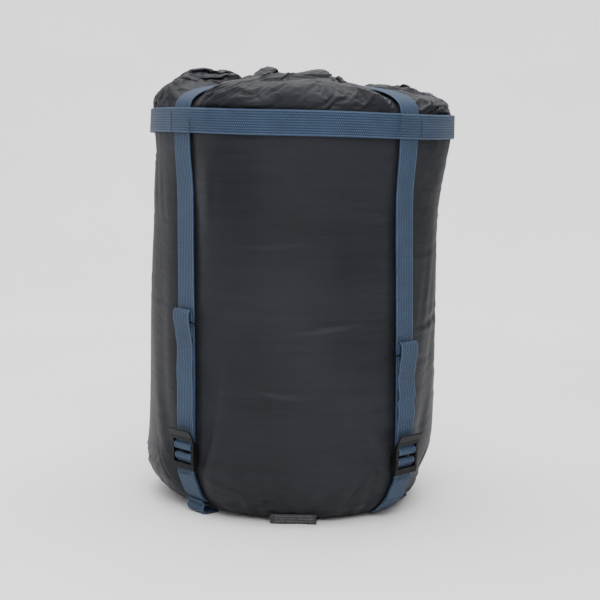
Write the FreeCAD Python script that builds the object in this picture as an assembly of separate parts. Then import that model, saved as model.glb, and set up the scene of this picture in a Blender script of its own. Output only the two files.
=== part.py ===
"""Drawcord stuff sack with a webbing compression harness.

A round fabric sack stands on its base. A gathered collar closes its mouth over a drawcord with a
spring cord lock. A webbing harness lies over it: a band round the shoulder, two straps that cross over
the mouth, and four legs that run down to ladder-lock buckles held by tabs sewn near the base. Each leg
turns round its buckle's locking bar and comes back up as a tail that ends in a sewn pull loop, which a
rubber keeper ring holds against the leg.

Millimetres. The origin is the middle of the base, +Z is up, and the front faces -Y.
"""

import math
import os

import FreeCAD
import Part

V = FreeCAD.Vector

# --- driving dimensions --------------------------------------------------------------------------
WEB_W = 25.0  # webbing width
WEB_T = 1.4  # webbing thickness
FABRIC_T = 1.2  # wall thickness that stands for the shell fabric and its stuffing pressure

BODY_R = 150.0  # outside radius of the stuffed body
CORNER_IN = 45.0  # how far the rounded lower edge reaches in from the side
CORNER_UP = 60.0  # how far it reaches up from the base
SHOULDER_R = 157.0  # outside radius where the shoulder band sits
FLARE_Z = 282.0  # height where the body starts to widen towards the shoulder
BAND_Z = 383.0  # lower edge of the shoulder band
WALL_TOP_Z = BAND_Z + WEB_W

MOUTH_R = 70.0  # middle of the drawcord channel
MOUTH_Z = WALL_TOP_Z + 21.5
CHANNEL_R = 4.8  # section radius of the drawcord channel
CORD_R = 1.0  # drawcord radius

HARNESS_TURN = -3.5  # degrees that the harness's top is turned from the tabs at the base

BUCKLE_Z = 48.0  # lower edge of a buckle
BUCKLE_W = 33.0
BUCKLE_H = 41.0

CLEAR = 0.3  # gap between pieces that move apart

# Each strap line: name, direction from the middle, and the height of its tail's pull loop.
STRAPS = [
    ("front_left", 225.0, 209.0),
    ("front_right", 315.0, 182.0),
    ("back_right", 45.0, 198.0),
    ("back_left", 135.0, 190.0),
]

# Places in the section through a buckle: distance out from the body's side, and height.
LEG_OUT = 3.1  # middle of a leg
TAIL_OUT = 5.1  # middle of a tail
ANCHOR_OUT = 2.85  # middle of the doubled anchor tab
TAB_BAR = (5.2, BUCKLE_Z + 13.5)  # bar that the anchor tab goes round
LOCK_BAR = (6.05, BUCKLE_Z + 23.0)  # toothed bar that the leg goes round
TURN_R = 2.95  # middle radius of the webbing where it turns round the locking bar
FLEX_Z = BUCKLE_Z - 2.0  # line where the anchor tab bends when the buckle is lifted


# --- helpers -------------------------------------------------------------------------------------
def save(name, shape):
    """Writes one node as parts/NAME.step and prints its size."""
    solids = shape.Solids
    out = solids[0] if len(solids) == 1 else Part.makeCompound(solids)
    out.exportStep(f"parts/{name}.step")
    print(f"{name}: {len(solids)} solid(s), {out.Volume / 1000:.2f} cm3, valid {out.isValid()}")


def smooth(t):
    """0 to 1 with no corner at either end."""
    t = max(0.0, min(1.0, t))
    return t * t * (3 - 2 * t)


def wall_radius(z):
    """Outside radius of the body at a height."""
    if z < CORNER_UP:
        return BODY_R - CORNER_IN + CORNER_IN * math.sqrt(1 - (1 - z / CORNER_UP) ** 2)
    return BODY_R + (SHOULDER_R - BODY_R) * smooth((z - FLARE_Z) / (WALL_TOP_Z - FLARE_Z))


def section_points(points):
    """(radius, height) pairs as points of the XZ plane."""
    return [V(r, 0, z) for r, z in points]


def spline(points):
    """A smooth edge through the points."""
    curve = Part.BSplineCurve()
    curve.interpolate(points)
    return curve.toShape()


def revolved(edges):
    """Solid of revolution about Z of a closed outline in the XZ plane."""
    face = Part.Face(Part.Wire(edges))
    return face.revolve(V(0, 0, 0), V(0, 0, 1), 360)


def ribbon(centre, thickness=WEB_T, width=WEB_W):
    """Webbing along a smooth centreline in the XZ plane, as wide as width along Y.

    The thickness is one number, or one for each point of the centreline."""
    points = section_points(centre)
    depths = thickness if isinstance(thickness, list) else [thickness] * len(points)
    curve = Part.BSplineCurve()
    curve.interpolate(points)
    sides = ([], [])
    for point, depth in zip(points, depths):
        tangent = curve.tangent(curve.parameter(point))[0]
        normal = V(-tangent.z, 0, tangent.x)
        for side, sign in zip(sides, (1, -1)):
            side.append(point + normal * (sign * depth / 2))
    left, right = sides
    ends = [Part.makeLine(left[-1], right[-1]), Part.makeLine(right[0], left[0])]
    edges = [spline(left), ends[0], spline(right[::-1]), ends[1]]
    strip = Part.Face(Part.Wire(edges)).extrude(V(0, width, 0))
    strip.translate(V(0, -width / 2, 0))
    return strip


def turned(shape, azimuth):
    """A copy of a shape made in the XZ plane, turned about Z to its strap line."""
    copy = shape.copy()
    copy.rotate(V(0, 0, 0), V(0, 0, 1), azimuth)
    return copy


def bar(y0, y1, out, z, radius):
    """A round bar along Y at a distance out from the body's side."""
    return Part.makeCylinder(radius, y1 - y0, V(BODY_R + out, y0, z), V(0, 1, 0))


def rounded_slab(outline, width, edge_radius):
    """A plate with this side outline of (out, height) pairs, as wide as width along Y, with eased edges."""
    points = [V(BODY_R + o, -width / 2, z) for o, z in outline]
    slab = Part.Face(Part.makePolygon(points + points[:1])).extrude(V(0, width, 0))
    return slab.makeFillet(edge_radius, slab.Edges) if edge_radius else slab


# --- the sack ------------------------------------------------------------------------------------
def make_side_wall():
    """Fabric tube with its rounded lower edge, open at the top, which stands on its lowest ring."""
    centre = V(BODY_R - CORNER_IN, 0, CORNER_UP)

    def side(offset):
        """Edges of one face of the fabric, from the floor up."""
        low, high = centre - V(0, 0, CORNER_UP - offset), centre + V(CORNER_IN - offset, 0, 0)
        corner = Part.ArcOfEllipse(Part.Ellipse(low, high, centre), 0, math.pi / 2).toShape()
        straight = V(BODY_R - offset, 0, FLARE_Z)
        heights = [FLARE_Z + (WALL_TOP_Z - FLARE_Z) * k / 5 for k in range(6)]
        flare = [V(wall_radius(z) - offset, 0, z) for z in heights]
        return [corner, Part.makeLine(high, straight), spline(flare)], low, flare[-1]

    outer, outer_low, outer_top = side(0.0)
    inner, inner_low, inner_top = side(FABRIC_T)
    rim, foot = Part.makeLine(outer_top, inner_top), Part.makeLine(inner_low, outer_low)
    return revolved(outer + [rim] + inner[::-1] + [foot])


def make_base_panel():
    """Round base disc that closes the wall's lower ring."""
    return Part.makeCylinder(BODY_R - CORNER_IN - CLEAR / 3, FABRIC_T)


def make_base_binding():
    """Tape that covers the base seam on the inside."""
    seam_r, tape_w, tape_t = BODY_R - CORNER_IN - 2 * CLEAR, 8.4, 1.0
    low = V(0, 0, FABRIC_T + CLEAR / 3)
    return Part.makeCylinder(seam_r, tape_t, low).cut(Part.makeCylinder(seam_r - tape_w, tape_t, low))


# Outside of the collar, from the shoulder to the drawcord channel, halfway between two straps and under one:
# radius, and height above the side wall.
COLLAR_CREST = [(157, 0.3), (157.5, 11), (152, 23), (138, 33), (116, 37.5), (98, 32.8), (87, 28), (76.5, 24)]
COLLAR_VALLEY = [(156.4, 0.3), (153.4, 6.3), (146, 12), (133.5, 17), (116, 20.6), (98, 23.2)]
COLLAR_VALLEY += [(87, 24), (76.5, 24)]
LOBE_STEPS = 32


def moved_in(profile, depth):
    """The profile moved inward, square to itself."""
    out = []
    for k, (r, z) in enumerate(profile):
        r0, z0 = profile[max(k - 1, 0)]
        r1, z1 = profile[min(k + 1, len(profile) - 1)]
        length = math.hypot(r1 - r0, z1 - z0)
        out.append((r - depth * (z1 - z0) / length, z + depth * (r1 - r0) / length))
    return out


def lobed_loft(crest, valley):
    """Solid whose surface swells between the four straps and dips under each one."""
    wires = []
    for (rc, zc), (rv, zv) in zip(crest, valley):
        ring = []
        for k in range(LOBE_STEPS):
            angle = 2 * math.pi * k / LOBE_STEPS
            swell = math.cos(2 * (angle - math.radians(HARNESS_TURN))) ** 2
            r = rv + (rc - rv) * swell
            ring.append(V(r * math.cos(angle), r * math.sin(angle), WALL_TOP_Z + zv + (zc - zv) * swell))
        curve = Part.BSplineCurve()
        curve.interpolate(ring, PeriodicFlag=True)
        wires.append(Part.Wire(curve.toShape()))
    return Part.makeLoft(wires, True)


def make_collar():
    """Gathered upper fabric from the shoulder to the mouth."""
    throat = MOUTH_R + CHANNEL_R + CLEAR
    past = 2.0
    lip = [(throat, COLLAR_CREST[-1][1] - FABRIC_T), (throat, COLLAR_CREST[-1][1] + past)]
    inside = []
    for profile in (COLLAR_CREST, COLLAR_VALLEY):
        face = moved_in(profile, FABRIC_T)
        inside.append([(face[0][0], profile[0][1] - past)] + face[1:-1] + lip)
    return lobed_loft(COLLAR_CREST, COLLAR_VALLEY).cut(lobed_loft(*inside))


# --- the mouth closure ---------------------------------------------------------------------------
# The cord's two ends leave the channel at the back and run outward over the collar, through the lock.
EXIT_RISE = (75.5, WALL_TOP_Z + 32.7)  # (Y, Z) where the two ends turn outward
KNOT_AT = (103.0, WALL_TOP_Z + 41.3)
LOCK_AT = 12.4  # distance of the lock's middle from the turn
STRAND_GAP = 1.15  # half the distance between the two ends
KNOT_R = 3.4
LOCK_R = 5.5
PLUNGER_R = 3.7
PLUNGER_TRAVEL = 3.0


def lock_frame():
    """Middle of the lock, and the direction that the two cord ends run through it."""
    y0, z0 = EXIT_RISE
    y1, z1 = KNOT_AT
    along = V(0, y1 - y0, z1 - z0).normalize()
    return V(0, y0, z0) + along * LOCK_AT, along


def make_channel():
    """Rolled hem that the drawcord runs in, with the hole where its two ends come out."""
    middle = V(0, 0, MOUTH_Z)
    tube = Part.makeTorus(MOUTH_R, CHANNEL_R, middle)
    tube = tube.cut(Part.makeTorus(MOUTH_R, CHANNEL_R - FABRIC_T, middle))
    rise = V(0, EXIT_RISE[0] - MOUTH_R, EXIT_RISE[1] - MOUTH_Z)
    hole_r = STRAND_GAP + CORD_R + 0.5
    return tube.cut(Part.makeCylinder(hole_r, CHANNEL_R * 2, V(0, MOUTH_R, MOUTH_Z), rise))


def make_drawcord():
    """The cord: its ring in the channel and its two ends, as far as the knot."""
    cord = Part.makeTorus(MOUTH_R, CORD_R, V(0, 0, MOUTH_Z))
    for x in (-STRAND_GAP, STRAND_GAP):
        points = [V(x, MOUTH_R, MOUTH_Z), V(x, *EXIT_RISE), V(x, *KNOT_AT)]
        bend = 4.0
        before = points[1] + (points[0] - points[1]).normalize() * bend
        after = points[1] + (points[2] - points[1]).normalize() * bend
        middle = (before + after) * 0.5
        reach = (points[1] - middle) * 0.42
        rise, run = Part.makeLine(points[0], before), Part.makeLine(after, points[2])
        path = Part.Wire([rise, Part.Arc(before, middle + reach, after).toShape(), run])
        start = Part.Wire(Part.makeCircle(CORD_R, points[0], points[1] - points[0]))
        cord = cord.fuse(path.makePipeShell([start], True, False))
    return cord.cut(Part.makeSphere(KNOT_R, V(0, *KNOT_AT)))


def make_knot():
    """Overhand knot that joins the two cord ends."""
    return Part.makeSphere(KNOT_R, V(0, *KNOT_AT))


def slot_through(half_width, middle_x, half_height, length):
    """Slot cut through the lock along the cord ends."""
    centre, along = lock_frame()
    across = V(1, 0, 0)
    up = along.cross(across) * -1
    low = centre + across * (middle_x - half_width) - up * half_height - along * (length / 2)
    wide, tall = across * (2 * half_width), up * (2 * half_height)
    corners = [low, low + wide, low + wide + tall, low + tall]
    return Part.Face(Part.makePolygon(corners + corners[:1])).extrude(along * length)


def make_lock():
    """Barrel, plunger and spring of the cord lock, with the plunger's axis along X."""
    centre, _ = lock_frame()
    axis = V(1, 0, 0)
    barrel_x = (-11.0, 6.0)
    bore_x = -9.5
    shank_x = (-3.6, 9.3)
    head_x = 12.0
    slot_half_w, slot_half_h, past = 2.7, 1.6, 20.0
    barrel = Part.makeCylinder(LOCK_R, barrel_x[1] - barrel_x[0], centre + axis * barrel_x[0], axis)
    barrel = barrel.makeFillet(1.2, [e for e in barrel.Edges if len(e.Vertexes) == 1])
    barrel = barrel.cut(Part.makeCylinder(PLUNGER_R + 0.25, past, centre + axis * bore_x, axis))
    barrel = barrel.cut(slot_through(slot_half_w, 0.0, slot_half_h, past))
    plunger = Part.makeCylinder(PLUNGER_R, shank_x[1] - shank_x[0], centre + axis * shank_x[0], axis)
    head = Part.makeCylinder(LOCK_R - 0.6, head_x - shank_x[1], centre + axis * shank_x[1], axis)
    head = head.makeFillet(1.0, [e for e in head.Edges if e.BoundBox.XMin > head_x - 0.1])
    plunger = plunger.fuse(head).removeSplitter()
    half_travel = PLUNGER_TRAVEL / 2
    plunger = plunger.cut(slot_through(slot_half_w + half_travel, half_travel, slot_half_h, past))
    pitch, turns_r, wire_r = 1.9, 2.4, 0.3
    room = shank_x[0] - bore_x - 2 * wire_r - 0.4
    helix = Part.makeHelix(pitch, room, turns_r)
    start = Part.Wire(Part.makeCircle(wire_r, V(turns_r, 0, 0), V(0, 1, 0)))
    spring = Part.Wire(helix).makePipeShell([start], True, True)
    spring.rotate(V(0, 0, 0), V(0, 1, 0), 90)
    spring.translate(centre + axis * (bore_x + wire_r + 0.2))
    return barrel, plunger, spring


# --- the harness ---------------------------------------------------------------------------------
BAND_GAP = 3.0  # room under the band for the legs
BAND_T = 1.6
UNDER_BAND = 1.1  # middle of a strap, out from the fabric, where the band lies over it


def make_band():
    """Webbing ring round the shoulder."""
    inner, low = SHOULDER_R + BAND_GAP, V(0, 0, BAND_Z)
    return Part.makeCylinder(inner + BAND_T, WEB_W, low).cut(Part.makeCylinder(inner, WEB_W, low))


def make_top_strap(lift):
    """Strap from one side of the band over the mouth to the other, raised by lift where the straps cross."""
    under_band = SHOULDER_R + UNDER_BAND
    over = [(155.3, 7.2), (147.6, 13.6), (134.6, 18.7), (117, 22.3), (95, 25.2), (72, 27.9)]
    over += [(48, 28.5 + lift * 0.3), (22, 28.8 + lift * 0.9)]
    half = [(under_band, BAND_Z + 12.5), (under_band, WALL_TOP_Z)] + [(r, WALL_TOP_Z + z) for r, z in over]
    return ribbon(half + [(0, WALL_TOP_Z + 28.8 + lift)] + [(-r, z) for r, z in half[::-1]])


def lean(z):
    """How far a strap has turned from its tab at a height, in degrees."""
    return HARNESS_TURN * smooth((z - LOCK_BAR[1]) / (BAND_Z - LOCK_BAR[1]))


def upright_strap(stations, azimuth):
    """Webbing through (radius, height) stations, which leans as it rises."""
    sections = []
    for r, z in stations:
        inner, outer, half = r - WEB_T / 2, r + WEB_T / 2, WEB_W / 2
        corners = [V(inner, -half, z), V(outer, -half, z), V(outer, half, z), V(inner, half, z)]
        sections.append(turned(Part.makePolygon(corners + corners[:1]), azimuth + lean(z)))
    return Part.makeLoft(sections, True)


def make_leg(azimuth):
    """Strap from the band down the body to the buckle."""
    low, high, count = LOCK_BAR[1] + 2.8, BAND_Z - 17.0, 9
    under_band = SHOULDER_R + UNDER_BAND
    stations = []
    for k in range(count):
        z = low + (high - low) * k / (count - 1)
        out = LEG_OUT + (UNDER_BAND - LEG_OUT) * smooth((z - FLARE_Z - 12.0) / 70)
        stations.append((wall_radius(z) + out, z))
    stations += [(under_band, BAND_Z + 2), (under_band, BAND_Z + 12.2)]
    return upright_strap(stations, azimuth)


def round_bar(radius, degrees):
    """Points of a strap's middle at these angles round a bar, as (out, height) from the bar's middle."""
    return [(radius * math.cos(math.radians(a)), radius * math.sin(math.radians(a))) for a in degrees]


def make_turn():
    """The strap's turn round the locking bar, from the leg to the tail."""
    out, z = LOCK_BAR
    down = [(-TURN_R, 2.5), (-TURN_R, 0)]
    under = round_bar(TURN_R, (220, 270, 320, 360))
    over = [(2.5, 2.3), (0.9, 4.0), (-0.55, 5.5), (TAIL_OUT - out, 7.5)]
    return ribbon([(BODY_R + out + u, z + v) for u, v in down + under + over])


LOOP_H = 27.0  # from a pull loop's stitching to its top
LOOP_FOOT = 11.7  # from a pull loop's stitching down to where the plain tail begins
LOOP_IN = TAIL_OUT + 0.2  # middle of the loop's inner strand


def make_tail(top, azimuth):
    """Loose strap from the buckle up to its pull loop, whose highest point is at top."""
    low, high, count = LOCK_BAR[1] + 7.8, top - LOOP_H - LOOP_FOOT - CLEAR, 4
    heights = [low + (high - low) * k / (count - 1) for k in range(count)]
    return upright_strap([(BODY_R + TAIL_OUT, z) for z in heights], azimuth)


def make_pull_loop(top):
    """The strap's folded and sewn end, which a finger goes behind."""
    stitch = top - LOOP_H
    points = [(TAIL_OUT, stitch - LOOP_FOOT), (TAIL_OUT + 0.2, stitch - 9.0), (6.1, stitch - 5.5)]
    points += [(6.8, stitch - 2.0), (7.2, stitch + 3), (8.9, stitch + 11), (10.0, stitch + 20)]
    points += [(9.0, top - 2.2), (7.4, top - 0.7)]
    points += [(5.9, top - 2.6), (LOOP_IN, stitch + 17), (LOOP_IN, stitch + 8), (LOOP_IN, stitch - 0.5)]
    return ribbon([(BODY_R + out, z) for out, z in points])


KEEPER_R = 0.9
KEEPER_BELOW_TOP = 13.0
KEEPER_TILT = -28.0
KEEPER_BACK_OUT = KEEPER_R + CLEAR  # the ring's bar between the body and the leg
KEEPER_FRONT_OUT = LOOP_IN + WEB_T / 2 + KEEPER_R + CLEAR  # the ring's bar inside the pull loop


def make_keeper(top):
    """Rubber ring round the leg and through the tail's pull loop, lower where it passes behind the leg."""
    half, corner = WEB_W / 2 + 1.9, 1.6
    depth = (KEEPER_FRONT_OUT - KEEPER_BACK_OUT) / math.cos(math.radians(KEEPER_TILT))
    corners = [V(0, -half, 0), V(depth, -half, 0), V(depth, half, 0), V(0, half, 0)]
    edges = []
    for k in range(4):
        here, before, after = corners[k], corners[k - 1], corners[(k + 1) % 4]
        to_before, to_after = (before - here).normalize() * corner, (after - here).normalize() * corner
        knee = here + (to_before + to_after) * (1 - math.sqrt(0.5))
        edges.append(Part.Arc(here + to_before, knee, here + to_after).toShape())
        edges.append(Part.makeLine(here + to_after, after - to_after))
    first = edges[0]
    start = Part.makeCircle(KEEPER_R, first.Vertexes[0].Point, first.tangentAt(first.FirstParameter))
    ring = Part.Wire(edges).makePipeShell([Part.Wire(start)], True, True)
    ring.rotate(V(depth, 0, 0), V(0, 1, 0), KEEPER_TILT)
    ring.translate(V(BODY_R + KEEPER_FRONT_OUT - depth, 0, top - KEEPER_BELOW_TOP))
    return ring


def make_buckle():
    """Ladder-lock: two rails, a foot bar, the anchor tab's bar, the toothed locking bar and the lift tab."""
    half = BUCKLE_W / 2
    rail_w = half - WEB_W / 2 - 0.5
    z = BUCKLE_Z
    front = [(4.9, z), (7.4, z), (8.4, z + 6), (9.0, z + 26), (11.2, z + 34), (15.0, z + BUCKLE_H)]
    tab_back = [(13.2, z + BUCKLE_H), (9.4, z + 34.5), (6.8, z + 29.5)]
    plate = rounded_slab(front + tab_back + [(1.6, z + 26), (1.0, z + 20), (1.4, z + 7)], BUCKLE_W, 0.6)
    window_half = half - rail_w
    behind = [(4.9, z - 1), (4.7, z + 8), (4.6, z + 26), (6.8, z + 29.5), (-1.0, z + 29.5), (-1.0, z - 1)]

    def window(z0, z1):
        return Part.makeBox(30, 2 * window_half, z1 - z0, V(BODY_R, -window_half, z0))

    foot_top, tab_low = z + 6.5, z + 30.0
    frame = plate.cut(rounded_slab(behind, 2 * window_half, 0)).cut(window(foot_top, tab_low))
    frame = frame.fuse(bar(-window_half - 1, window_half + 1, *TAB_BAR, 1.6))
    lock = bar(-window_half - 1, window_half + 1, *LOCK_BAR, 1.7)
    tooth_count = 7
    for k in range(tooth_count):
        y = (k - (tooth_count - 1) / 2) * WEB_W / tooth_count
        root = V(BODY_R + LOCK_BAR[0] - 1.3, y, LOCK_BAR[1] + 0.4)
        lock = lock.fuse(Part.makeCone(0.8, 0.2, 0.9, root, V(-1, 0, 0.3)))
    return frame.fuse(lock).removeSplitter()


def corner_point(degrees, out):
    """A point beside the rounded lower edge: degrees up from straight below, and out from the fabric."""
    across, down = math.sin(math.radians(degrees)), math.cos(math.radians(degrees))
    length = math.hypot(across / CORNER_IN, down / CORNER_UP)
    r = BODY_R - CORNER_IN + CORNER_IN * across + out * across / CORNER_IN / length
    z = CORNER_UP - CORNER_UP * down - out * down / CORNER_UP / length
    return (r, z)


def make_anchor_base(last_degrees):
    """Webbing tab sewn to the body below a buckle: doubled at its top, single towards the base."""
    doubled, single = 2 * WEB_T + 0.1, WEB_T
    first_degrees, steps = 62.0, 6
    points, depths = [], []
    for k in range(steps + 1):
        degrees = last_degrees + (first_degrees - last_degrees) * k / steps
        share = smooth((degrees - 38.0) / 15.0)
        depth = single + (doubled - single) * share
        gap = CLEAR + (ANCHOR_OUT - doubled / 2 - CLEAR) * share
        depths.append(depth)
        points.append(corner_point(degrees, gap + depth / 2))
    past = 4.0
    points += [(BODY_R + ANCHOR_OUT, z) for z in (FLEX_Z - 2.5, FLEX_Z + 1, FLEX_Z + past)]
    above = Part.makeBox(20, WEB_W + 2, 2 * past, V(BODY_R - 10, -WEB_W / 2 - 1, FLEX_Z))
    return ribbon(points, depths + [doubled] * 3).cut(above)


def make_anchor_loop():
    """The tab's upper end, up behind the foot bar, round the tab bar and back down behind the foot bar."""
    out, z = TAB_BAR
    r = 1.8 + WEB_T / 2
    inner, outer = ANCHOR_OUT - WEB_T / 2 - 0.05, ANCHOR_OUT + WEB_T / 2 + 0.05
    low = FLEX_Z + CLEAR
    up = [(inner, low), (inner, z - 6), (inner + 0.25, z - 3), (out - r, z)]
    over = [(out + u, z + v) for u, v in round_bar(r, (135, 90, 45, 0))]
    down = [(out + r * 0.8, z - 2.2), (out - 0.1, z - 4.6), (outer + 0.1, z - 7.4)]
    down += [(outer, z - 10.5), (outer, low)]
    return ribbon([(BODY_R + o, h) for o, h in up + over + down])


def make_grab_loop():
    """Short webbing loop sewn on over the front left tab, to hold the sack by while the straps are pulled."""
    start = corner_point(46, ANCHOR_OUT + 2 * WEB_T + 0.2)
    fold = [(137.4, 11.0), (136.6, 7.2), (134.0, 4.0), (130.0, 2.1), (125.6, 1.3), (120.6, 0.9), (116.0, 0.8)]
    return ribbon([start] + fold)


def make_care_label():
    """Blank sewn-in label that hangs in front of the rounded lower edge."""
    width, low, high = 46.0, 0.6, 10.0
    return Part.makeBox(width, 0.5, high - low, V(-width / 2, -wall_radius(high) - 1.1, low))


TACK_T = 1.2  # width of a line of stitching
THREAD_T = 0.4


def bartack(out, z, width, height, azimuth):
    """A dense line of stitching as a thin bar on a strap line's face."""
    piece = Part.makeBox(THREAD_T, width, height, V(out, -width / 2, z))
    return turned(piece, azimuth)


def make_shoulder_bartacks():
    """Upright stitch lines that hold the band to each strap, one beside each edge of the strap."""
    outside = SHOULDER_R + BAND_GAP + BAND_T
    beside = math.degrees((WEB_W / 2 + 2.0) / outside)
    tacks = []
    for _, azimuth, _ in STRAPS:
        for turn in (-beside, beside):
            place = azimuth + HARNESS_TURN + turn
            tacks.append(bartack(outside + 0.02, BAND_Z + 2, TACK_T, WEB_W - 4, place))
    return Part.makeCompound(tacks)


def make_anchor_bartacks():
    """Stitch lines across each anchor tab, just below where it bends."""
    out = BODY_R + ANCHOR_OUT + WEB_T + 0.15
    low = FLEX_Z - 2.7
    return Part.makeCompound([bartack(out, low, WEB_W - 4, TACK_T, azimuth) for _, azimuth, _ in STRAPS])


def make_cross_bartack():
    """Sewn square where the two top straps cross over the mouth."""
    side, thread, z = WEB_W - 6, 1.0, WALL_TOP_Z + 31.5
    frame = Part.makeBox(side, side, THREAD_T, V(-side / 2, -side / 2, z))
    inner = side - 2 * thread
    frame = frame.cut(Part.makeBox(inner, inner, THREAD_T, V(-inner / 2, -inner / 2, z)))
    return turned(frame, 45 + HARNESS_TURN)


# --- build ---------------------------------------------------------------------------------------
def main():
    os.makedirs("parts", exist_ok=True)
    save("side_wall", make_side_wall())
    save("base_panel", make_base_panel())
    save("base_seam_binding", make_base_binding())
    save("collar", make_collar())
    save("drawcord_channel", make_channel())
    save("drawcord", make_drawcord())
    save("cord_end_knot", make_knot())
    barrel, plunger, spring = make_lock()
    save("cord_lock_barrel", barrel)
    save("cord_lock_plunger", plunger)
    save("cord_lock_spring", spring)
    save("shoulder_band", make_band())
    save("top_strap_lower", turned(make_top_strap(0.0), STRAPS[2][1] + HARNESS_TURN))
    save("top_strap_upper", turned(make_top_strap(WEB_T + 0.25), STRAPS[1][1] + HARNESS_TURN))
    save("shoulder_bartacks", make_shoulder_bartacks())
    save("anchor_bartacks", make_anchor_bartacks())
    save("top_cross_bartack", make_cross_bartack())
    save("care_label", make_care_label())
    save("grab_loop", turned(make_grab_loop(), STRAPS[0][1]))
    turn, buckle, anchor_loop = make_turn(), make_buckle(), make_anchor_loop()
    for name, azimuth, top in STRAPS:
        save(f"leg_{name}", make_leg(azimuth))
        save(f"strap_turn_{name}", turned(turn, azimuth))
        save(f"buckle_{name}", turned(buckle, azimuth))
        save(f"anchor_loop_{name}", turned(anchor_loop, azimuth))
        save(f"tail_{name}", make_tail(top, azimuth))
        loop_azimuth = azimuth + lean(top - KEEPER_BELOW_TOP)
        save(f"pull_loop_{name}", turned(make_pull_loop(top), loop_azimuth))
        save(f"keeper_{name}", turned(make_keeper(top), loop_azimuth))
        last_degrees = 40.0 if name == "front_left" else 22.0
        save(f"anchor_base_{name}", turned(make_anchor_base(last_degrees), azimuth))


main()
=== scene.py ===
"""Looks for the compression stuff sack: fabric shell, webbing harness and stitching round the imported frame.

Lengths are in millimetres, and mesh() turns them into metres. A strap line is a direction from the middle of
the sack. Places in its plane are 'out', the distance from the body's side, and the height.
"""

import math

import bpy
import numpy as np
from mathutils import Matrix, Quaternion, Vector


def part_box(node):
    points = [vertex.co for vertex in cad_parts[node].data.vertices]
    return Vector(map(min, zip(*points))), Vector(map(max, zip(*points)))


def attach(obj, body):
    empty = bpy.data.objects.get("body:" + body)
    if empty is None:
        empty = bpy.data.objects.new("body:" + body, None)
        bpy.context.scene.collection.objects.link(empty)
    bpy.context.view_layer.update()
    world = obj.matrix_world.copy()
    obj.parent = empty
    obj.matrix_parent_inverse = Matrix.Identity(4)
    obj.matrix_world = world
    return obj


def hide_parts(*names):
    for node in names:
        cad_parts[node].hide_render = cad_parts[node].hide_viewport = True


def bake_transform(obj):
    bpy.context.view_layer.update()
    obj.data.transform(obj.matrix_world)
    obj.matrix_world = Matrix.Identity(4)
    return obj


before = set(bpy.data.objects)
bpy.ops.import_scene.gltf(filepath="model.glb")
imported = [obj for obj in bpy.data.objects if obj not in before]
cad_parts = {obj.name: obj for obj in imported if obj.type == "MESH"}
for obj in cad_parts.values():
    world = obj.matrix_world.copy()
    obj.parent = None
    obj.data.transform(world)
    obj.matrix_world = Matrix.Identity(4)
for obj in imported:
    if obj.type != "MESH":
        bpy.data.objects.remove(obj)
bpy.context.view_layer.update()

MM = 0.001
TAU = 2 * math.pi


def node_box(node):
    """A node's lowest and highest corners in millimetres."""
    return [np.array(corner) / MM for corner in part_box(node)]


# --- sizes, from the frame ---
WEB_W = 25.0
WEB_T = 1.4
BODY_R = 150.0
CORNER_IN, CORNER_UP = 45.0, 60.0  # how far the rounded lower edge reaches in from the side, and up
BAND_LOW, BAND_HIGH = node_box("shoulder_band")[0][2], node_box("shoulder_band")[1][2]
BAND_MID = (BAND_LOW + BAND_HIGH) / 2
BAND_T = 1.6
BAND_R = node_box("shoulder_band")[1][0] - BAND_T / 2  # middle of the band's webbing
SHOULDER_R = 157.0  # outside of the fabric under the band
FLARE_Z = 282.0  # where the body starts to widen towards the band
HARNESS_TURN = -3.5  # degrees that the harness's top is turned from the tabs at the base
BUCKLE_Z = node_box("buckle_front_left")[0][2]
JOIN_Z = BUCKLE_Z + 49.0  # where a strap's pieces meet, above the buckle

# How far out from the body's side the middle of a piece of webbing lies.
ANCHOR_OUT = 2.85
LEG_OUT = 3.1  # at the leg's foot, beside the buckle
LEG_CLEAR = 3.3  # from JOIN_Z up
LEG_RISE = 0.12  # added above the pull loop, where the keeper ring slides to
TAIL_OUT = 5.1
UNDER_BAND = 1.1 + SHOULDER_R - BODY_R  # where a strap passes under the band

# Middle of each of a buckle's bars: out, and height.
TAB_BAR = (5.2, BUCKLE_Z + 13.5)
TAB_BAR_R = 1.8
LOCK_BAR = (6.05, BUCKLE_Z + 23.0)
TURN_R = 2.95  # middle of the strap, round the locking bar

LOOP_H = 27.0  # from a pull loop's stitching to its top
LOOP_FOOT = 11.7  # from a pull loop's stitching down to the tail
KEEPER_BELOW_TOP = 13.0  # a keeper ring, below its pull loop's top

# name: direction in degrees, how far to one side the tail's top lies, and the waves along the tail
STRAPS = {
    "front_left": (225.0, -0.7, ((0.9, 0.7), (0.4, 2.1))),
    "front_right": (315.0, 0.7, ((1.6, 0.2), (0.9, 1.4))),
    "back_right": (45.0, 0.5, ((1.1, 1.7), (0.6, 0.4))),
    "back_left": (135.0, -0.5, ((0.8, 2.6), (0.7, 1.0))),
}


# --- small maths ---
def smooth(t):
    """0 to 1 with no corner at either end, for numbers or arrays."""
    t = np.clip(t, 0.0, 1.0)
    return t * t * (3 - 2 * t)


def bell(x, width):
    return np.exp(-((x / width) ** 2))


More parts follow.
